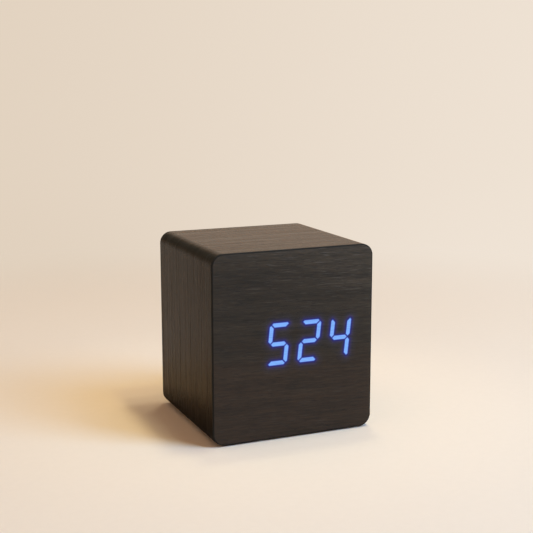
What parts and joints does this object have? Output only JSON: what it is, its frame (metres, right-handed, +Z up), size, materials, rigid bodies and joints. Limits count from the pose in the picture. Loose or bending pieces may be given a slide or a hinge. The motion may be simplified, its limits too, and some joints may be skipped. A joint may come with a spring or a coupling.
{
  "type": "digital alarm clock",
  "caption": "Block-shaped wood-veneer table clock with a blue LED display that shines through its plain front, rear buttons and power socket, and a hinged battery door below.",
  "frame": {"origin": "middle of the footprint, on the surface that the clock stands on", "axes": "+Z up, the display faces -Y, +X is to the right of someone reading the display"},
  "size_m": [0.0654, 0.06, 0.0725],
  "materials": {
    "veneer": "dark stained wood veneer, satin lacquer, fine grain",
    "fibreboard": "bare fibreboard, matt",
    "felt_pad": "matt dark foam rubber",
    "reflector": "white moulded plastic, matt",
    "segment_lit": "cast epoxy, lit blue from behind",
    "segment_dark": "cast milky epoxy, unlit",
    "led_chip": "light-emitting chip, glossy",
    "circuit_board": "green solder mask, glossy",
    "screw_steel": "zinc-plated, satin",
    "chip_black": "black moulded epoxy, matt",
    "header": "white nylon, matt",
    "ribbon": "grey flat cable, satin",
    "switch_black": "black moulded plastic, matt",
    "plunger": "ivory moulded plastic, matt",
    "button": "black moulded plastic, satin",
    "jack_pin": "nickel-plated, bright",
    "microphone": "drawn can, satin",
    "buzzer": "black moulded can, matt",
    "coin_cell": "stainless can, bright",
    "spring_steel": "nickel-plated spring steel, bright",
    "crystal": "drawn can, satin",
    "capacitor": "shrink sleeve, glossy",
    "rear_plate": "black moulded plastic, fine spark texture",
    "tray": "black moulded plastic, matt",
    "door": "black moulded plastic, fine spark texture",
    "cell": "plain dark sleeve over a metal can, glossy",
    "red_wire": "red PVC insulation",
    "black_wire": "black PVC insulation"
  },
  "bodies": {
    "clock_case": {"back_panel": "fibreboard", "back_veneer": "veneer", "battery_front": "cell", "battery_middle": "cell", "battery_rear": "cell", "battery_tray": "tray", "battery_tray_screws": "screw_steel", "black_lead": "black_wire", "bottom_wall": "fibreboard", "buzzer": "buzzer", "capacitor": "capacitor", "coin_cell": "coin_cell", "coin_cell_clip": "spring_steel", "colon_dots": "segment_dark", "control_board": "circuit_board", "control_board_screws": "screw_steel", "controller_chip": "chip_black", "crystal": "crystal", "dc_jack_body": "switch_black", "dc_jack_pin": "jack_pin", "display_board": "circuit_board", "display_board_screws": "screw_steel", "display_driver_chip": "chip_black", "display_reflector": "reflector", "foot_pads": "felt_pad", "front_panel": "fibreboard", "front_veneer": "veneer", "hour_tens_dark_segments": "segment_dark", "hour_units_dark_segments": "segment_dark", "hour_units_lit_segments": "segment_lit", "led_chips": "led_chip", "left_wall": "fibreboard", "link_contact_left": "spring_steel", "link_contact_right": "spring_steel", "microphone": "microphone", "minute_tens_dark_segments": "segment_dark", "minute_tens_lit_segments": "segment_lit", "minute_units_dark_segments": "segment_dark", "minute_units_lit_segments": "segment_lit", "mode_switch_body": "spring_steel", "negative_contact": "spring_steel", "positive_contact": "spring_steel", "rear_plate": "rear_plate", "rear_plate_screws": "screw_steel", "red_lead": "red_wire", "ribbon_cable": "ribbon", "ribbon_headers": "header", "right_wall": "fibreboard", "tact_switch_bodies": "switch_black", "top_wall": "fibreboard", "wrap_veneer": "veneer"},
    "set_button_cap": {"set_button": "button", "set_plunger": "plunger"},
    "down_button_cap": {"down_button": "button", "down_plunger": "plunger"},
    "up_button_cap": {"up_button": "button", "up_plunger": "plunger"},
    "mode_slider": {"mode_switch_slider": "button"},
    "battery_cover": {"battery_door": "door"}
  },
  "joints": [
    {"name": "set_press", "type": "slide", "parent": "clock_case", "child": "set_button_cap", "axis": [0, -1, 0], "range_m": [0, 0.0006], "stiffness_N_per_m": 300},
    {"name": "down_press", "type": "slide", "parent": "clock_case", "child": "down_button_cap", "axis": [0, -1, 0], "range_m": [0, 0.0006], "stiffness_N_per_m": 300},
    {"name": "up_press", "type": "slide", "parent": "clock_case", "child": "up_button_cap", "axis": [0, -1, 0], "range_m": [0, 0.0006], "stiffness_N_per_m": 300},
    {"name": "mode_slide", "type": "slide", "parent": "clock_case", "child": "mode_slider", "axis": [1, 0, 0], "range_m": [0, 0.002]},
    {"name": "cover_hinge", "type": "hinge", "parent": "clock_case", "child": "battery_cover", "pos_m": [0, -0.0165, 0.0014], "axis": [-1, 0, 0], "range_deg": [0, 95]}
  ]
}
